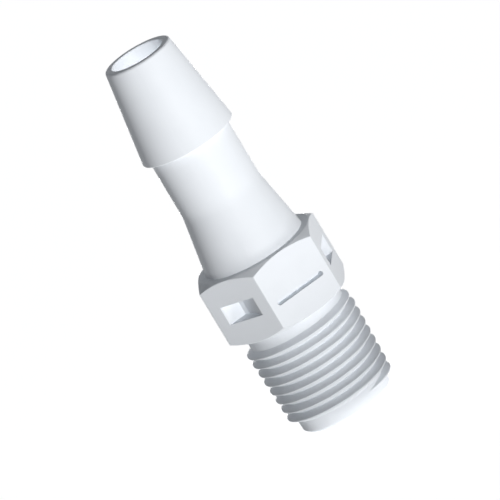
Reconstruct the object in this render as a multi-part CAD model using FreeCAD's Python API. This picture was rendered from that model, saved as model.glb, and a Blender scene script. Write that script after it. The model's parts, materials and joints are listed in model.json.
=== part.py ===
import FreeCAD, Part
import math
import os

# Threaded hose barb fitting, moulded in one piece. Millimetres.
# +Z runs along the bore to the hose end, and the origin is the middle of the threaded end's face.
# The hexagon flat with the index groove faces -Y.

# Bore and hose end
BORE_DIAMETER = 5.0
TIP_WALL = 0.66
NECK_WALL = 1.32
BARB_OVERHANG = 0.62
BARB_LENGTH = 8.75
NECK_LENGTH = 5.75
FLARE_LENGTH = 5.6
FLARE_BLEND_RADIUS = 6.0

# Wrench hexagon
HEX_ACROSS_FLATS = 11.0
HEX_THICKNESS = 6.3
HEX_LEDGE = 0.75
HEX_CHAMFER_INSET = 0.055
HEX_CHAMFER_DEGREES = 30.0

# Recesses in the four side flats
RECESS_WIDTH = 3.8
RECESS_HEIGHT = 1.74
RECESS_BORE_WALL = 1.65

# Index groove in the front flat
GROOVE_LENGTH = 4.95
GROOVE_WIDTH = 0.42
GROOVE_DEPTH = 1.0
GROOVE_DROP = 0.62

# Threaded end
THREADED_LENGTH = 10.1
RELIEF_LENGTH = 1.1
NOSE_CHAMFER = 0.3
THREAD_DIAMETER = 9.97
THREAD_PITCH = 0.9407
THREAD_TAPER = 0.0625
CREST_FLAT = 0.12
ROOT_FLAT = 0.06
FLANK_DEGREES = 30.0
THREAD_START_HEIGHT = 1.115
THREAD_START_DEGREES = 281.5
RUN_IN_DEGREES = 70.0
RUN_OUT_DEGREES = 150.0

# How finely the ridge is drawn
RIDGE_SPANS_PER_TURN = 2
RIDGE_POINTS_PER_SPAN = 12

# Heights and radii that follow from them
bore_radius = BORE_DIAMETER / 2
tip_radius = bore_radius + TIP_WALL
neck_radius = bore_radius + NECK_WALL
barb_radius = neck_radius + BARB_OVERHANG
hex_inradius = HEX_ACROSS_FLATS / 2
flare_radius = hex_inradius - HEX_LEDGE
hex_bottom = THREADED_LENGTH
hex_top = hex_bottom + HEX_THICKNESS
hex_middle = hex_bottom + HEX_THICKNESS / 2
neck_start = hex_top + FLARE_LENGTH
shoulder = neck_start + NECK_LENGTH
tip = shoulder + BARB_LENGTH
thread_top = THREADED_LENGTH - RELIEF_LENGTH
flank_slope = math.tan(math.radians(FLANK_DEGREES))
thread_depth = (THREAD_PITCH - CREST_FLAT - ROOT_FLAT) / (2 * flank_slope)
ridge_sink = ROOT_FLAT / 2

# A hexagon's corners are 60 degrees apart, and +X and -X point at two of them
corner_step = 60
half_step = corner_step / 2
corner_radius = hex_inradius / math.cos(math.radians(half_step))


def crest_radius(height):
    """The thread's outer radius at a height above the end face."""
    return THREAD_DIAMETER / 2 + height * THREAD_TAPER / 2


def core_radius(height):
    """The radius of the tapered core between the thread's ridges."""
    return crest_radius(height) - thread_depth


def point(radius, height, degrees=0.0):
    """A point given by its distance from the axis, its height and its angle from +X."""
    turn = math.radians(degrees)
    return FreeCAD.Vector(radius * math.cos(turn), radius * math.sin(turn), height)


def lines(corners):
    """Straight edges from each corner to the next."""
    return [Part.LineSegment(a, b).toShape() for a, b in zip(corners, corners[1:])]


def polygon_face(corners):
    return Part.Face(Part.makePolygon(corners + corners[:1]))


def turned(face):
    """The solid that a face beside the axis sweeps in one full turn."""
    return face.revolve(FreeCAD.Vector(), FreeCAD.Vector(0, 0, 1), 360)


def threaded_core():
    """The tapered core with a chamfered end face, and the straight relief under the hexagon."""
    relief_radius = core_radius(thread_top)
    return turned(polygon_face([
        point(0, 0),
        point(core_radius(0) - NOSE_CHAMFER, 0),
        point(core_radius(NOSE_CHAMFER), NOSE_CHAMFER),
        point(relief_radius, thread_top),
        point(relief_radius, hex_middle),
        point(0, hex_middle),
    ]))


def flare_blend():
    """The arc that joins the straight neck to the flared cone, as its start, middle and end."""
    corner = point(neck_radius, neck_start)
    lean = math.atan2(flare_radius - neck_radius, FLARE_LENGTH)
    reach = FLARE_BLEND_RADIUS * math.tan(abs(lean) / 2)
    bulge = math.copysign(FLARE_BLEND_RADIUS * (1 / math.cos(lean / 2) - 1), lean)
    start = corner + FreeCAD.Vector(math.sin(lean), 0, -math.cos(lean)) * reach
    middle = corner + FreeCAD.Vector(math.cos(lean / 2), 0, math.sin(lean / 2)) * bulge
    end = corner + FreeCAD.Vector(0, 0, reach)
    return start, middle, end


def hose_stem():
    """The flared base, the straight neck and the barb with its square shoulder."""
    start, middle, end = flare_blend()
    straight = lines([
        end,
        point(neck_radius, shoulder),
        point(barb_radius, shoulder),
        point(tip_radius, tip),
        point(0, tip),
        point(0, hex_middle),
        point(flare_radius, hex_middle),
        point(flare_radius, hex_top),
        start,
    ])
    return turned(Part.Face(Part.Wire([Part.Arc(start, middle, end).toShape()] + straight)))


def hexagon():
    """The wrench hexagon, with its corners chamfered at both ends."""
    corners = [point(corner_radius, hex_bottom, degrees) for degrees in range(0, 360, corner_step)]
    prism = polygon_face(corners).extrude(FreeCAD.Vector(0, 0, HEX_THICKNESS))
    inner = hex_inradius - HEX_CHAMFER_INSET
    outer = corner_radius + HEX_CHAMFER_INSET
    drop = (outer - inner) * math.tan(math.radians(HEX_CHAMFER_DEGREES))
    chamfers = turned(polygon_face([
        point(0, hex_bottom),
        point(inner, hex_bottom),
        point(outer, hex_bottom + drop),
        point(outer, hex_top - drop),
        point(inner, hex_top),
        point(0, hex_top),
    ]))
    return prism.common(chamfers)


def recesses():
    """Four side recesses: a floor facing along Y, a wall facing along X and the bore's wall behind."""
    bottom = hex_middle - RECESS_HEIGHT / 2
    flat_middle = point(hex_inradius, bottom, half_step)
    along_flat = point(RECESS_WIDTH / 2, 0, half_step + 90)
    shallow = flat_middle - along_flat
    deep = flat_middle + along_flat
    inside_corner = FreeCAD.Vector(deep.x, shallow.y, bottom)
    outwards = FreeCAD.Vector(corner_radius, 0, 0)
    mouth = polygon_face([shallow, inside_corner, deep, deep + outwards, shallow + outwards])
    bore_wall = Part.makeCylinder(bore_radius + RECESS_BORE_WALL, RECESS_HEIGHT, point(0, bottom))
    back_right = mouth.extrude(FreeCAD.Vector(0, 0, RECESS_HEIGHT)).cut(bore_wall)
    centre = FreeCAD.Vector()
    back_left = back_right.mirror(centre, FreeCAD.Vector(1, 0, 0))
    back = [back_right, back_left]
    front = [recess.mirror(centre, FreeCAD.Vector(0, 1, 0)) for recess in back]
    return back + front


def index_groove():
    """The straight groove with round ends in the front flat."""
    half = (GROOVE_LENGTH - GROOVE_WIDTH) / 2
    middle = hex_middle - GROOVE_DROP
    front = -hex_inradius - GROOVE_DEPTH
    reach = 2 * GROOVE_DEPTH
    bar_corner = FreeCAD.Vector(-half, front, middle - GROOVE_WIDTH / 2)
    bar = Part.makeBox(2 * half, reach, GROOVE_WIDTH, bar_corner)
    inwards = FreeCAD.Vector(0, 1, 0)
    ends = [
        Part.makeCylinder(GROOVE_WIDTH / 2, reach, FreeCAD.Vector(x, front, middle), inwards)
        for x in (-half, half)
    ]
    return bar.fuse(ends)


def faded(degrees_from_end, fade_degrees):
    """How far the ridge has sunk into the core near one of its ends, from 0 to 1."""
    share = max(0.0, 1 - degrees_from_end / fade_degrees)
    return share * share


def smooth_curve(points):
    """A smooth curve that passes the first point at 0, the next at 1, and so on."""
    curve = Part.BSplineCurve()
    curve.interpolate(points, Parameters=[float(i) for i in range(len(points))])
    return curve


def thread_ridge():
    """The right-hand ridge wound round the core. It sinks into the core at both ends."""
    turns = (thread_top - THREAD_START_HEIGHT) / THREAD_PITCH
    steps = math.ceil(turns * RIDGE_SPANS_PER_TURN) * RIDGE_POINTS_PER_SPAN
    full_depth = thread_depth + ridge_sink
    half_crest = CREST_FLAT / 2
    half_base = half_crest + full_depth * flank_slope
    section = [(0, -half_crest), (0, half_crest), (full_depth, half_base), (full_depth, -half_base)]
    routes = [[] for corner in section]
    for step in range(steps + 1):
        degrees = 360 * turns * step / steps
        height = THREAD_START_HEIGHT + degrees / 360 * THREAD_PITCH
        sunk = max(faded(degrees, RUN_IN_DEGREES), faded(360 * turns - degrees, RUN_OUT_DEGREES))
        radius = crest_radius(height) - sunk * full_depth
        for route, (depth, offset) in zip(routes, section):
            route.append(point(radius - depth, height + offset, THREAD_START_DEGREES + degrees))
    curves = [smooth_curve(route) for route in routes]
    faces = [polygon_face([route[end] for route in routes]) for end in (0, -1)]
    for start in range(0, steps, RIDGE_POINTS_PER_SPAN):
        edges = [curve.toShape(start, start + RIDGE_POINTS_PER_SPAN) for curve in curves]
        faces += [Part.makeRuledSurface(a, b) for a, b in zip(edges, edges[1:] + edges[:1])]
    shell = Part.Shell(faces)
    shell.sewShape()
    return Part.Solid(shell)


def fitting_body():
    """The whole fitting, with the bore right through it."""
    body = threaded_core().fuse([hose_stem(), hexagon()])
    body = body.fuse(thread_ridge())
    body = body.cut(recesses() + [index_groove()])
    body = body.cut(Part.makeCylinder(bore_radius, tip))
    return body.removeSplitter()


os.makedirs("parts", exist_ok=True)
fitting_body().exportStep("parts/fitting_body.step")
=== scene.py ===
import json
import math

import bmesh
import bpy
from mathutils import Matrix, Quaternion, Vector


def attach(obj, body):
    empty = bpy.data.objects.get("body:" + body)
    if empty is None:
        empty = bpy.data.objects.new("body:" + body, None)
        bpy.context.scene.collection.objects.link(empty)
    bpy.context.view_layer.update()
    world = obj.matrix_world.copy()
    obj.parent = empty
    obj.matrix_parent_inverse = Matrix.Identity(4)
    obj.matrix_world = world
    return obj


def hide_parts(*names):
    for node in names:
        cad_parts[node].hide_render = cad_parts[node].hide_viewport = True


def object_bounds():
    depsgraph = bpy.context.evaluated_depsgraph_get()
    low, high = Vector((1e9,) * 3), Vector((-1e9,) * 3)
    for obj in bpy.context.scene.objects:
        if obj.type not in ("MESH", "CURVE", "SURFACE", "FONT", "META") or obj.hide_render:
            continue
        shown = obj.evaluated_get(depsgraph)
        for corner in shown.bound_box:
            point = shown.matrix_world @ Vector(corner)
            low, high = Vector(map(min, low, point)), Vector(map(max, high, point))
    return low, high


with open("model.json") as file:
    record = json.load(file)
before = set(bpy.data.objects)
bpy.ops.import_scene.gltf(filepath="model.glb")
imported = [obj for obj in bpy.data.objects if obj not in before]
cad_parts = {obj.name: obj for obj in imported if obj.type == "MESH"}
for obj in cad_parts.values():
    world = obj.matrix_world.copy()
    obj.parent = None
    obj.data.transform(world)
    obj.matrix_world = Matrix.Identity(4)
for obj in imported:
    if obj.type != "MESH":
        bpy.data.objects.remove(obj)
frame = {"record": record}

# Threaded hose barb fitting in white moulded plastic. Metres, in the frame's own axes:
# +Z runs along the bore to the hose end, and the hexagon flat with the index groove faces -Y.

CAD_LOW, CAD_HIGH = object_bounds()
MOUNTS = {mount["name"]: mount for mount in frame["record"]["mounts"]}
MM = 0.001

# Bore and hose end
BORE_RADIUS = MOUNTS["through_bore"]["dims"]["r_mm"] * MM
TIP_RADIUS = BORE_RADIUS + 0.66 * MM
NECK_RADIUS = BORE_RADIUS + 1.32 * MM
BARB_RADIUS = NECK_RADIUS + 0.62 * MM
BARB_LENGTH = 8.75 * MM
NECK_LENGTH = 5.75 * MM
FLARE_LENGTH = 5.6 * MM
FLARE_BLEND_RADIUS = 6.0 * MM

# Wrench hexagon
HEX_SIDES = 6
HEX_INRADIUS = CAD_HIGH.y
HEX_LEDGE = 0.75 * MM
HEX_CHAMFER_INSET = 0.055 * MM
HEX_CHAMFER_SLOPE = math.tan(math.radians(30))
HEX_EDGE_RADIUS = 0.1 * MM

# Recesses in the four side flats
RECESS_WIDTH = 3.8 * MM
RECESS_HEIGHT = 1.74 * MM
RECESS_BORE_WALL = 1.65 * MM

# Index groove in the front flat
GROOVE_LENGTH = 4.95 * MM
GROOVE_WIDTH = 0.42 * MM
GROOVE_DEPTH = 1.0 * MM
GROOVE_DROP = 0.62 * MM

# Threaded end
RELIEF_LENGTH = 1.1 * MM
NOSE_CHAMFER = 0.3 * MM
THREAD_RADIUS = 4.985 * MM
THREAD_PITCH = 0.9407 * MM
THREAD_TAPER = 0.0625
CREST_FLAT = 0.12 * MM
ROOT_FLAT = 0.06 * MM
LEAST_FLANK = CREST_FLAT / 4
FLANK_SLOPE = math.tan(math.radians(30))
THREAD_START_HEIGHT = 1.115 * MM
THREAD_START = math.radians(281.5)
ROOM_BELOW_START = 0.7 * THREAD_PITCH
RUN_IN = math.radians(70)
RUN_OUT = math.radians(150)

# Heights, radii and angles that follow from them
HEX_MIDDLE = MOUNTS["wrench_hexagon"]["pos_m"][2]
HEX_CORNER_STEP = math.tau / HEX_SIDES
BACK_RIGHT_FLAT = HEX_CORNER_STEP / 2
TIP = CAD_HIGH.z
SHOULDER = TIP - BARB_LENGTH
NECK_START = SHOULDER - NECK_LENGTH
HEX_TOP = NECK_START - FLARE_LENGTH
HEX_BOTTOM = 2 * HEX_MIDDLE - HEX_TOP
FLARE_RADIUS = HEX_INRADIUS - HEX_LEDGE
THREAD_TOP = HEX_BOTTOM - RELIEF_LENGTH
THREAD_DEPTH = (THREAD_PITCH - CREST_FLAT - ROOT_FLAT) / (2 * FLANK_SLOPE)
THREAD_TURNS = (THREAD_TOP - THREAD_START_HEIGHT) / THREAD_PITCH
RIDGE_DEPTH = THREAD_DEPTH + ROOT_FLAT / 2

# How far from each kind of edge its rounding starts, and the most of a side that one may take
FINE_EDGE = 0.04 * MM
MOULDED_EDGE = 0.09 * MM
RIM_EDGE = 0.22 * MM
INSIDE_CORNER = 0.15 * MM
MOST_OF_SIDE = 0.45

# Rounded mouths of the recesses and the groove, and the blocks that cut them
MOUTH_EDGE = 0.05 * MM
MOUTH_CLEARANCE = 0.5 * MM
MOUTH_REACH = 1.5 * MOUTH_EDGE

# How fine the mesh is, and the angles up to which its faces are smooth or flat
COLUMNS = 240
HEX_EDGE_SHARES = (-1.0, -0.6, -0.2, 0.2, 0.6, 1.0)
ROUNDING_STEPS = 4
THREAD_ROUNDING_STEPS = 3
MOUTH_STEPS = 3
GROOVE_END_STEPS = 16
RECESS_WALL_STEPS = 10
SAME_POINT = 0.00005 * MM
SHARP_ANGLE = math.radians(35)
FLAT_ANGLE = math.radians(0.1)

# Plastic: its two shades, its gloss, and the size and depth of its ripple and its skin
PLASTIC_SHADE = (0.826, 0.852, 0.884)
PLASTIC_TINT = (0.846, 0.872, 0.904)
CLOUD_SIZE = 3.0 * MM
CLOUD_DETAIL = 3
DIFFUSE_ROUGHNESS = 0.3
SPECULAR_LEVEL = 0.3
LEAST_ROUGHNESS = 0.5
MOST_ROUGHNESS = 0.62
GLOSS_SIZE = 0.6 * MM
GLOSS_DETAIL = 4
RIPPLE_SIZE = 1.4 * MM
RIPPLE_DETAIL = 1
RIPPLE_DEPTH = 0.006 * MM
RIPPLE_STRENGTH = 0.5
SKIN_SIZE = 0.1 * MM
SKIN_DETAIL = 3
SKIN_DEPTH = 0.0015 * MM
SKIN_STRENGTH = 0.6
NOISE_LOW = 0.3
NOISE_HIGH = 0.7

# Floor and backdrop
FLOOR_REACH = 20
FLOOR_COLOUR = (0.8, 0.8, 0.8)
FLOOR_LIFT = 0.875
AMBIENT_LEVEL = 0.16
AMBIENT_TINT = (0.97, 1.0, 1.04)
WHITE_LEVEL = 1

# Studio lamps. A level is how bright a lamp makes a white surface that faces it, where 1 is white
LAMP_DISTANCE = 1.0
LAMP_SIZE = 0.3
FRONT_AZIMUTH = 3
FRONT_ELEVATION = -25
FRONT_LEVEL = 0.28
LOW_ELEVATION = -37
LOW_LEVEL = 0.2
SIDE_SWING = 60
LEFT_LEVEL = 0.12
RIGHT_LEVEL = 0.05
BACK_LEVEL = 0.7
SPOT_SIZE = 5 * MM
SPOT_ELEVATION = -5
SPOT_LEVEL = 0.56
SPOT_HEIGHT = 33 * MM
SPOT_REACH = 36 * MM
STRIP_DISTANCE = 60 * MM
STRIP_ELEVATION = -10
STRIP_LEVEL = 0.32
STRIP_WIDTH = 14 * MM
STRIP_HEIGHT = 3 * MM
STRIP_RISE = 0.2 * MM
STRIP_SPREAD = math.radians(2)

# Camera. The picture shows MIDDLE, a point on the bore's axis, at MIDDLE_PIXEL
IMAGE_SIZE = 500
SENSOR_WIDTH = 36
PIXELS_PER_METRE = 11600
CAMERA_DISTANCE = 1.2
CAMERA_AZIMUTH = -18.5
CAMERA_ELEVATION = 14.7
CAMERA_ROLL = -31.0
CLIP_START = 0.1
CLIP_END = 50
MIDDLE = Vector((0, 0, 18.3 * MM))
MIDDLE_PIXEL = (242.3, 230.7)


def crest_radius(height):
    """The thread's outer radius at a height."""
    return THREAD_RADIUS + height * THREAD_TAPER / 2


def core_radius(height):
    """The radius of the tapered core, which is straight above the thread."""
    return crest_radius(min(height, THREAD_TOP)) - THREAD_DEPTH


def direction(angle):
    """A level direction at an angle from +X, counted towards +Y."""
    return Vector((math.cos(angle), math.sin(angle), 0))


def hexagon_radius(angle):
    """The hexagon's radius towards an angle from +X, with its six long edges rounded."""
    half = HEX_CORNER_STEP / 2
    off_corner = abs((angle + half) % HEX_CORNER_STEP - half)
    centre = (HEX_INRADIUS - HEX_EDGE_RADIUS) / math.cos(half)
    reach = math.atan2(
        HEX_EDGE_RADIUS * math.sin(half), centre + HEX_EDGE_RADIUS * math.cos(half))
    if off_corner >= reach:
        return HEX_INRADIUS / math.cos(half - off_corner)
    across = centre * math.sin(off_corner)
    return centre * math.cos(off_corner) + math.sqrt(HEX_EDGE_RADIUS ** 2 - across ** 2)


def rounded(corners, setbacks, steps):
    """A line through 2-D corners, with a curve at each one that starts its setback away from it."""
    points = []
    last = len(corners) - 1
    for i, (corner, setback) in enumerate(zip(corners, setbacks)):
        if setback == 0 or i in (0, last):
            points.append(corner)
            continue
        before = corners[i - 1] - corner
        after = corners[i + 1] - corner
        reach = min(setback, MOST_OF_SIDE * before.length, MOST_OF_SIDE * after.length)
        start = corner + before.normalized() * reach
        end = corner + after.normalized() * reach
        for step in range(steps + 1):
            t = step / steps
            points.append(start * (1 - t) ** 2 + corner * 2 * t * (1 - t) + end * t ** 2)
    return points


def faded(from_end, fade):
    """How far the ridge has sunk into the core near one of its ends, from 0 to 1."""
    return max(0.0, 1 - from_end / fade) ** 2


def ridge_height(turns):
    """How far the thread's ridge stands out of the core, so many turns from its start."""
    from_start = turns * math.tau
    from_end = (THREAD_TURNS - turns) * math.tau
    if from_start <= 0 or from_end <= 0:
        return 0.0
    middle = THREAD_START_HEIGHT + turns * THREAD_PITCH
    sunk = max(faded(from_start, RUN_IN), faded(from_end, RUN_OUT))
    return max(0.0, crest_radius(middle) - sunk * RIDGE_DEPTH - core_radius(middle))


def ridge_section(turns):
    """Radius and height of points across one turn of the thread, so many turns from its start."""
    middle = THREAD_START_HEIGHT + turns * THREAD_PITCH
    height = ridge_height(turns)
    crest = CREST_FLAT / 2
    foot = crest + max(height * FLANK_SLOPE, LEAST_FLANK)
    half = THREAD_PITCH / 2
    offsets = (-half, -foot, -crest, crest, foot, half)
    rises = (0, 0, height, height, 0, 0)
    corners = []
    for offset, rise in zip(offsets, rises):
        at = middle + offset
        corners.append(Vector((core_radius(at) + rise, at)))
    setbacks = (0, FINE_EDGE, FINE_EDGE, FINE_EDGE, FINE_EDGE, 0)
    return rounded(corners, setbacks, THREAD_ROUNDING_STEPS)


def thread_rows(share, low, high):
    """The thread's points from low to high, at a share of a turn past the angle where it starts.

    Points of the spare turns beyond either height are moved onto it, where they merge later.
    """
    first = math.floor((low - THREAD_START_HEIGHT) / THREAD_PITCH) - 1
    final = math.ceil((high - THREAD_START_HEIGHT) / THREAD_PITCH) + 1
    rows = []
    for turn in range(first, final + 1):
        for radius, height in ridge_section(turn + share)[:-1]:
            if height < low:
                rows.append(Vector((core_radius(low), low)))
            elif height > high:
                rows.append(Vector((core_radius(high), high)))
            else:
                rows.append(Vector((radius, height)))
    return rows


def flare_blend():
    """Radius and height of points on the arc that joins the flared cone to the neck."""
    lean = math.atan2(FLARE_RADIUS - NECK_RADIUS, FLARE_LENGTH)
    centre = Vector((
        NECK_RADIUS + FLARE_BLEND_RADIUS,
        NECK_START + FLARE_BLEND_RADIUS * math.tan(lean / 2)))
    steps = 2 * ROUNDING_STEPS
    turns = [lean * (1 - step / steps) for step in range(steps + 1)]
    return [centre - FLARE_BLEND_RADIUS * Vector((math.cos(turn), math.sin(turn))) for turn in turns]


def nose_corners():
    """The outline from half way up the bore, down and round the nose to just below the thread.

    Each corner comes with the setback of its rounding, here and in the two outlines after this.
    """
    foot = THREAD_START_HEIGHT - ROOM_BELOW_START
    return [
        (Vector((BORE_RADIUS, TIP / 2)), 0),
        (Vector((BORE_RADIUS, 0)), MOULDED_EDGE),
        (Vector((core_radius(0) - NOSE_CHAMFER, 0)), MOULDED_EDGE),
        (Vector((core_radius(NOSE_CHAMFER), NOSE_CHAMFER)), MOULDED_EDGE),
        (Vector((core_radius(foot), foot)), 0),
    ]


def hexagon_corners(angle):
    """The outline from the relief up over the hexagon and in along its top to the cone."""
    relief = core_radius(THREAD_TOP)
    inner = HEX_INRADIUS - HEX_CHAMFER_INSET
    outer = hexagon_radius(angle)
    drop = (outer - inner) * HEX_CHAMFER_SLOPE
    start = (THREAD_TOP + THREAD_PITCH / 2 + HEX_BOTTOM) / 2
    return [
        (Vector((relief, start)), 0),
        (Vector((relief, HEX_BOTTOM)), INSIDE_CORNER),
        (Vector((inner, HEX_BOTTOM)), FINE_EDGE),
        (Vector((outer, HEX_BOTTOM + drop)), FINE_EDGE),
        (Vector((outer, HEX_TOP - drop)), FINE_EDGE),
        (Vector((inner, HEX_TOP)), FINE_EDGE),
        (Vector((FLARE_RADIUS, HEX_TOP)), FINE_EDGE),
    ]


def stem_corners():
    """The outline from the neck out and up over the barb, and half way down the bore."""
    return [
        (Vector((NECK_RADIUS, SHOULDER)), INSIDE_CORNER),
        (Vector((BARB_RADIUS, SHOULDER)), MOULDED_EDGE),
        (Vector((TIP_RADIUS, TIP)), RIM_EDGE),
        (Vector((BORE_RADIUS, TIP)), MOULDED_EDGE),
        (Vector((BORE_RADIUS, TIP / 2)), 0),
    ]


def outline(angle):
    """The fitting's closed section beside the axis at an angle from +X, as radius and height."""
    nose = nose_corners()
    hexagon = hexagon_corners(angle)
    share = (angle - THREAD_START) / math.tau
    points = rounded(*zip(*nose), ROUNDING_STEPS)
    points += thread_rows(share, nose[-1][0].y, hexagon[0][0].y)
    blend = [(point, 0) for point in flare_blend()]
    points += rounded(*zip(*(hexagon + blend + stem_corners())), ROUNDING_STEPS)
    return points[:-1]


def column_angles():
    """Angles round the part from the thread's start, with extra ones on the hexagon's long edges."""
    angles = {step * math.tau / COLUMNS for step in range(COLUMNS)}
    reach = HEX_EDGE_RADIUS / (2 * HEX_INRADIUS)
    for corner in range(HEX_SIDES):
        for share in HEX_EDGE_SHARES:
            angles.add(corner * HEX_CORNER_STEP + share * reach)
    turned = sorted((angle - THREAD_START) % math.tau for angle in angles)
    return [THREAD_START + angle for angle in turned]


def fitting_mesh():
    """The fitting's closed skin without its recesses and groove."""
    mesh = bmesh.new()
    angles = column_angles()
    angles.append(angles[0] + math.tau)
    columns = []
    for angle in angles:
        across = direction(angle)
        points = [(across.x * radius, across.y * radius, height) for radius, height in outline(angle)]
        columns.append([mesh.verts.new(point) for point in points])
    for left, right in zip(columns, columns[1:]):
        for i in range(len(left)):
            mesh.faces.new((left[i - 1], right[i - 1], right[i], left[i]))
    bmesh.ops.remove_doubles(mesh, verts=mesh.verts, dist=SAME_POINT)
    bmesh.ops.recalc_face_normals(mesh, faces=mesh.faces)
    return mesh


def closed_block(mesh, rings):
    """Adds faces between rings with as many corners each, and over the first and last ring."""
    for near, far in zip(rings, rings[1:]):
        for i in range(len(near)):
            mesh.faces.new((near[i - 1], near[i], far[i], far[i - 1]))
    mesh.faces.new(rings[0])
    mesh.faces.new(rings[-1])
    bmesh.ops.recalc_face_normals(mesh, faces=mesh.faces)
    return mesh


def prism(corners, low, high):
    """A closed upright block over a flat outline, as a new mesh."""
    mesh = bmesh.new()
    bottom = [mesh.verts.new((corner.x, corner.y, low)) for corner in corners]
    top = [mesh.verts.new((corner.x, corner.y, high)) for corner in corners]
    return closed_block(mesh, [bottom, top])


def rounded_mouth(mouth, towards, depth):
    """A cutter from outside a flat down to a depth, wider at the flat by a rounded edge.

    mouth(margin) gives the hole's corners on the flat, and towards points into the body.
    """
    mesh = bmesh.new()
    levels = [(MOUTH_EDGE, -MOUTH_CLEARANCE)]
    for step in range(MOUTH_STEPS + 1):
        turn = math.radians(90) * step / MOUTH_STEPS
        levels.append((MOUTH_EDGE * (1 - math.sin(turn)), MOUTH_EDGE * (1 - math.cos(turn))))
    levels.append((0.0, depth))
    rings = []
    for margin, level in levels:
        rings.append([mesh.verts.new(corner + towards * level) for corner in mouth(margin)])
    return closed_block(mesh, rings)


def recess_outline():
    """The back right recess from above: a side wall, the round wall by the bore, a floor, its mouth."""
    middle = HEX_INRADIUS * direction(BACK_RIGHT_FLAT)
    along = RECESS_WIDTH / 2 * direction(BACK_RIGHT_FLAT + math.radians(90))
    shallow = middle - along
    deep = middle + along
    wall = BORE_RADIUS + RECESS_BORE_WALL
    first = math.asin(shallow.y / wall)
    last = math.acos(deep.x / wall)
    turn = (last - first) / RECESS_WALL_STEPS
    core = [wall * direction(first + turn * step) for step in range(RECESS_WALL_STEPS + 1)]
    outwards = Vector((HEX_INRADIUS, 0, 0))
    return [shallow] + core + [deep, deep + outwards, shallow + outwards]


def recess_cutter(side, face):
    """The block that cuts one recess. The signs of its x and y say which one."""
    corners = [Vector((side * point.x, face * point.y, 0)) for point in recess_outline()]
    return prism(corners, HEX_MIDDLE - RECESS_HEIGHT / 2, HEX_MIDDLE + RECESS_HEIGHT / 2)


def recess_mouth_cutter(side, face):
    """The block that rounds the mouth of one recess. The signs of its x and y say which one."""
    out = direction(BACK_RIGHT_FLAT)
    out = Vector((side * out.x, face * out.y, 0))
    across = Vector((-out.y, out.x, 0))
    middle = out * HEX_INRADIUS + Vector((0, 0, HEX_MIDDLE))

    def mouth(margin):
        wide = across * (RECESS_WIDTH / 2 + margin)
        tall = Vector((0, 0, RECESS_HEIGHT / 2 + margin))
        signs = ((-1, -1), (1, -1), (1, 1), (-1, 1))
        return [middle + right * wide + up * tall for right, up in signs]

    return rounded_mouth(mouth, -out, MOUTH_REACH)


def groove_mouth(margin):
    """The index groove's corners on the front flat: a straight slot with round ends."""
    half = (GROOVE_LENGTH - GROOVE_WIDTH) / 2
    radius = GROOVE_WIDTH / 2 + margin
    points = []
    for end, start in ((half, -90), (-half, 90)):
        for step in range(GROOVE_END_STEPS + 1):
            turn = math.radians(start + 180 * step / GROOVE_END_STEPS)
            points.append(Vector((
                end + radius * math.cos(turn),
                -HEX_INRADIUS,
                HEX_MIDDLE - GROOVE_DROP + radius * math.sin(turn))))
    return points


def as_object(mesh, name):
    """A new object that holds a mesh."""
    data = bpy.data.meshes.new(name)
    mesh.to_mesh(data)
    mesh.free()
    piece = bpy.data.objects.new(name, data)
    bpy.context.scene.collection.objects.link(piece)
    return piece


def joined(meshes):
    """One mesh made of several that don't touch."""
    whole = bmesh.new()
    for mesh in meshes:
        part = bpy.data.meshes.new("cutter_part")
        mesh.to_mesh(part)
        mesh.free()
        whole.from_mesh(part)
        bpy.data.meshes.remove(part)
    return whole


def carve(piece, cutters):
    """Cuts blocks out of a piece and leaves nothing of them behind."""
    tool = as_object(joined(cutters), "cutter")
    cut = piece.modifiers.new("cut", "BOOLEAN")
    cut.operation = "DIFFERENCE"
    cut.solver = "EXACT"
    cut.object = tool
    graph = bpy.context.evaluated_depsgraph_get()
    carved = bpy.data.meshes.new_from_object(piece.evaluated_get(graph))
    piece.modifiers.remove(cut)
    old = piece.data
    piece.data = carved
    bpy.data.meshes.remove(old)
    spent = tool.data
    bpy.data.objects.remove(tool)
    bpy.data.meshes.remove(spent)


def is_upright(face):
    """Whether a face stands parallel to the bore."""
    return abs(face.normal.z) < math.sin(FLAT_ANGLE)


def merge_flats(piece):
    """Joins the strips of each upright flat, so that it shades evenly up to its rounded edges."""
    mesh = bmesh.new()
    mesh.from_mesh(piece.data)
    edges = [edge for edge in mesh.edges if all(is_upright(face) for face in edge.link_faces)]
    bmesh.ops.dissolve_limit(mesh, angle_limit=FLAT_ANGLE, verts=mesh.verts, edges=edges)
    mesh.to_mesh(piece.data)
    mesh.free()


def make_fitting():
    """The whole fitting as one fine mesh, smooth apart from its true edges."""
    piece = as_object(fitting_mesh(), "moulded_fitting")
    places = [(side, face) for side in (1, -1) for face in (1, -1)]
    recesses = [recess_cutter(*place) for place in places]
    mouths = [recess_mouth_cutter(*place) for place in places]
    groove = rounded_mouth(groove_mouth, Vector((0, 1, 0)), GROOVE_DEPTH)
    carve(piece, recesses)
    carve(piece, mouths + [groove])
    merge_flats(piece)
    piece.data.shade_smooth()
    piece.data.set_sharp_from_angle(angle=SHARP_ANGLE)
    normals = piece.modifiers.new("even_normals", "WEIGHTED_NORMAL")
    normals.keep_sharp = True
    piece.data.materials.append(plastic_material())
    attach(piece, "root")
    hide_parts("fitting_body")


class Nodes:
    """A short way to add and join the shader nodes of a material or a world."""

    def __init__(self, owner):
        owner.use_nodes = True
        self.tree = owner.node_tree
        self.tree.nodes.clear()

    def add(self, kind, **settings):
        """A new node of a kind, with its own settings."""
        node = self.tree.nodes.new("ShaderNode" + kind)
        for key, value in settings.items():
            setattr(node, key, value)
        return node

    def join(self, source, target):
        """Leads one node's output into another's input."""
        self.tree.links.new(source, target)


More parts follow.
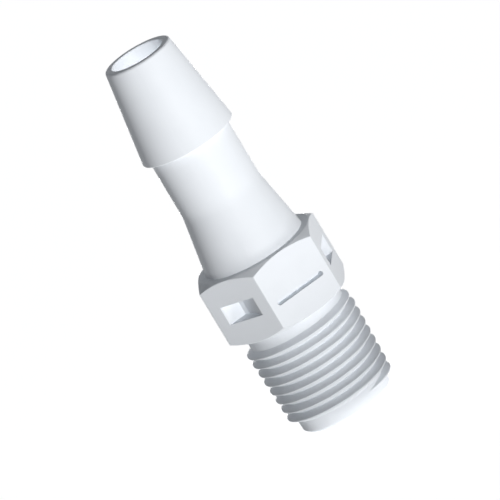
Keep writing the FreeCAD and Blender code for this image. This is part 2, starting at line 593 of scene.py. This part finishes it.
def noise(nodes, place, size, detail):
    """Noise whose features are about as large as a size in metres, as a value from 0 to 1."""
    texture = nodes.add("TexNoise")
    texture.inputs["Scale"].default_value = 1 / size
    texture.inputs["Detail"].default_value = detail
    nodes.join(place.outputs["Object"], texture.inputs["Vector"])
    return texture.outputs["Fac"]


def ranged(nodes, value, low, high):
    """A noise value spread over a range."""
    spread = nodes.add("MapRange")
    spread.inputs["From Min"].default_value = NOISE_LOW
    spread.inputs["From Max"].default_value = NOISE_HIGH
    spread.inputs["To Min"].default_value = low
    spread.inputs["To Max"].default_value = high
    nodes.join(value, spread.inputs["Value"])
    return spread.outputs["Result"]


def bump(nodes, height, depth, strength):
    """A bump node that raises a surface by a height from 0 to 1, to a depth in metres."""
    node = nodes.add("Bump")
    node.inputs["Strength"].default_value = strength
    node.inputs["Distance"].default_value = depth
    nodes.join(height, node.inputs["Height"])
    return node


def plastic_material():
    """Satin white plastic as it leaves the mould: faint clouds, uneven gloss, a ripple and fine skin."""
    material = bpy.data.materials.new("moulded_white_plastic")
    nodes = Nodes(material)
    place = nodes.add("TexCoord")
    shader = nodes.add("BsdfPrincipled")
    output = nodes.add("OutputMaterial")
    nodes.join(shader.outputs["BSDF"], output.inputs["Surface"])
    shader.inputs["Diffuse Roughness"].default_value = DIFFUSE_ROUGHNESS
    shader.inputs["Specular IOR Level"].default_value = SPECULAR_LEVEL

    clouds = noise(nodes, place, CLOUD_SIZE, CLOUD_DETAIL)
    tint = nodes.add("Mix", data_type="RGBA")
    tint.inputs["A"].default_value = (*PLASTIC_SHADE, 1)
    tint.inputs["B"].default_value = (*PLASTIC_TINT, 1)
    nodes.join(ranged(nodes, clouds, 0, 1), tint.inputs["Factor"])
    nodes.join(tint.outputs["Result"], shader.inputs["Base Color"])

    gloss = noise(nodes, place, GLOSS_SIZE, GLOSS_DETAIL)
    nodes.join(ranged(nodes, gloss, LEAST_ROUGHNESS, MOST_ROUGHNESS), shader.inputs["Roughness"])

    waves = noise(nodes, place, RIPPLE_SIZE, RIPPLE_DETAIL)
    grain = noise(nodes, place, SKIN_SIZE, SKIN_DETAIL)
    ripple = bump(nodes, waves, RIPPLE_DEPTH, RIPPLE_STRENGTH)
    skin = bump(nodes, grain, SKIN_DEPTH, SKIN_STRENGTH)
    nodes.join(ripple.outputs["Normal"], skin.inputs["Normal"])
    nodes.join(skin.outputs["Normal"], shader.inputs["Normal"])
    return material


def seen_or_reflected(nodes):
    """A value that is 1 for what is seen, in a reflection or through glass too, and else 0."""
    rays = nodes.add("LightPath")
    seen = rays.outputs["Is Camera Ray"]
    for kind in ("Is Glossy Ray", "Is Transmission Ray"):
        either = nodes.add("Math", operation="MAXIMUM")
        nodes.join(seen, either.inputs[0])
        nodes.join(rays.outputs[kind], either.inputs[1])
        seen = either.outputs["Value"]
    return seen


def floor_material():
    """A pale matt floor, lifted to white by an even glow where it is seen or reflected."""
    material = bpy.data.materials.new("white_floor")
    nodes = Nodes(material)
    surface = nodes.add("BsdfDiffuse")
    surface.inputs["Color"].default_value = (*FLOOR_COLOUR, 1)
    lift = nodes.add("Math", operation="MULTIPLY")
    lift.inputs[1].default_value = FLOOR_LIFT
    glow = nodes.add("Emission")
    both = nodes.add("AddShader")
    output = nodes.add("OutputMaterial")
    nodes.join(seen_or_reflected(nodes), lift.inputs[0])
    nodes.join(lift.outputs["Value"], glow.inputs["Strength"])
    nodes.join(surface.outputs["BSDF"], both.inputs[0])
    nodes.join(glow.outputs["Emission"], both.inputs[1])
    nodes.join(both.outputs["Shader"], output.inputs["Surface"])
    return material


def make_floor():
    """A plain floor under the fitting. Lamps below its level shine through it, as on a light table."""
    mesh = bmesh.new()
    corners = [mesh.verts.new((x, y, 0)) for x, y in ((-1, -1), (1, -1), (1, 1), (-1, 1))]
    for corner in corners:
        corner.co *= FLOOR_REACH
    mesh.faces.new(corners)
    floor = as_object(mesh, "floor")
    floor.data.materials.append(floor_material())
    floor.visible_shadow = False


def make_world():
    """A backdrop that is white where it is seen, and lights the fitting softly and a little cool."""
    world = bpy.data.worlds.new("studio")
    nodes = Nodes(world)
    background = nodes.add("Background")
    background.inputs["Color"].default_value = (*AMBIENT_TINT, 1)
    strength = nodes.add("MapRange")
    strength.inputs["To Min"].default_value = AMBIENT_LEVEL
    strength.inputs["To Max"].default_value = WHITE_LEVEL
    output = nodes.add("OutputWorld")
    nodes.join(seen_or_reflected(nodes), strength.inputs["Value"])
    nodes.join(strength.outputs["Result"], background.inputs["Strength"])
    nodes.join(background.outputs["Background"], output.inputs["Surface"])
    bpy.context.scene.world = world


def seen_from(azimuth, elevation):
    """The direction from the fitting to something at an azimuth from -Y towards +X, in degrees."""
    turn = math.radians(azimuth)
    lift = math.radians(elevation)
    level = math.cos(lift)
    return Vector((math.sin(turn) * level, -math.cos(turn) * level, math.sin(lift)))


def lamp(name, light, azimuth, elevation, target, distance=LAMP_DISTANCE):
    """Hangs a light at a distance from its target. The camera doesn't see it."""
    holder = bpy.data.objects.new(name, light)
    bpy.context.scene.collection.objects.link(holder)
    away = seen_from(azimuth, elevation)
    holder.location = target + away * distance
    holder.rotation_mode = "QUATERNION"
    holder.rotation_quaternion = (-away).to_track_quat("-Z", "Y")
    holder.visible_camera = False


def soft_lamp(name, azimuth, elevation, level):
    """A square soft box that lights the fitting to a level."""
    light = bpy.data.lights.new(name, "AREA")
    light.size = LAMP_SIZE
    light.energy = level * (math.pi * LAMP_DISTANCE) ** 2
    lamp(name, light, azimuth, elevation, MIDDLE)
    return light


def hose_end_spot():
    """A soft spot on the hose end, which fades towards the thread and reaches into the bore."""
    light = bpy.data.lights.new("hose_end_spot", "SPOT")
    light.energy = SPOT_LEVEL * (2 * math.pi * LAMP_DISTANCE) ** 2
    light.shadow_soft_size = SPOT_SIZE
    light.spot_size = 2 * math.atan(SPOT_REACH / LAMP_DISTANCE)
    light.spot_blend = 1
    light.use_shadow = False
    target = Vector((0, 0, SPOT_HEIGHT))
    lamp("hose_end_spot", light, FRONT_AZIMUTH, SPOT_ELEVATION, target)


def nose_strip():
    """A strip light close in front of the nose, which fades over the first turns of the thread."""
    light = bpy.data.lights.new("nose_strip", "AREA")
    light.shape = "RECTANGLE"
    light.size = STRIP_WIDTH
    light.size_y = STRIP_HEIGHT
    light.spread = STRIP_SPREAD
    lit_height = STRIP_HEIGHT + STRIP_DISTANCE * STRIP_SPREAD / 2
    light.energy = STRIP_LEVEL * math.pi * STRIP_WIDTH * lit_height
    light.use_shadow = False
    target = Vector((0, 0, STRIP_RISE))
    lamp("nose_strip", light, FRONT_AZIMUTH, STRIP_ELEVATION, target, STRIP_DISTANCE)


def make_lamps():
    """Soft boxes in front, at both sides and behind, and small lamps on the hose end and the nose.

    Those without shadows reach into the bore, the recesses and the grooves of the thread.
    """
    front = soft_lamp("front", FRONT_AZIMUTH, FRONT_ELEVATION, FRONT_LEVEL)
    front.use_shadow = False
    soft_lamp("low_front", FRONT_AZIMUTH, LOW_ELEVATION, LOW_LEVEL)
    soft_lamp("left", FRONT_AZIMUTH - SIDE_SWING, FRONT_ELEVATION, LEFT_LEVEL)
    soft_lamp("right", FRONT_AZIMUTH + SIDE_SWING, FRONT_ELEVATION, RIGHT_LEVEL)
    soft_lamp("back", CAMERA_AZIMUTH + 180, -CAMERA_ELEVATION, BACK_LEVEL)
    hose_end_spot()
    nose_strip()


def make_camera():
    """A view from the front, a little left and above, rolled so that the hose end is upper left."""
    data = bpy.data.cameras.new("photo_camera")
    data.sensor_width = SENSOR_WIDTH
    data.lens = PIXELS_PER_METRE * CAMERA_DISTANCE / IMAGE_SIZE * SENSOR_WIDTH
    data.clip_start = CLIP_START
    data.clip_end = CLIP_END
    camera = bpy.data.objects.new("photo_camera", data)
    bpy.context.scene.collection.objects.link(camera)
    away = seen_from(CAMERA_AZIMUTH, CAMERA_ELEVATION)
    roll = Quaternion((0, 0, 1), math.radians(CAMERA_ROLL))
    turn = (-away).to_track_quat("-Z", "Y") @ roll
    off_centre = Vector((IMAGE_SIZE / 2 - MIDDLE_PIXEL[0], MIDDLE_PIXEL[1] - IMAGE_SIZE / 2, 0))
    camera.rotation_mode = "QUATERNION"
    camera.rotation_quaternion = turn
    camera.location = MIDDLE + away * CAMERA_DISTANCE + turn @ (off_centre / PIXELS_PER_METRE)
    bpy.context.scene.camera = camera


make_fitting()
make_floor()
make_world()
make_lamps()
make_camera()
bpy.context.scene.view_settings.view_transform = "Standard"
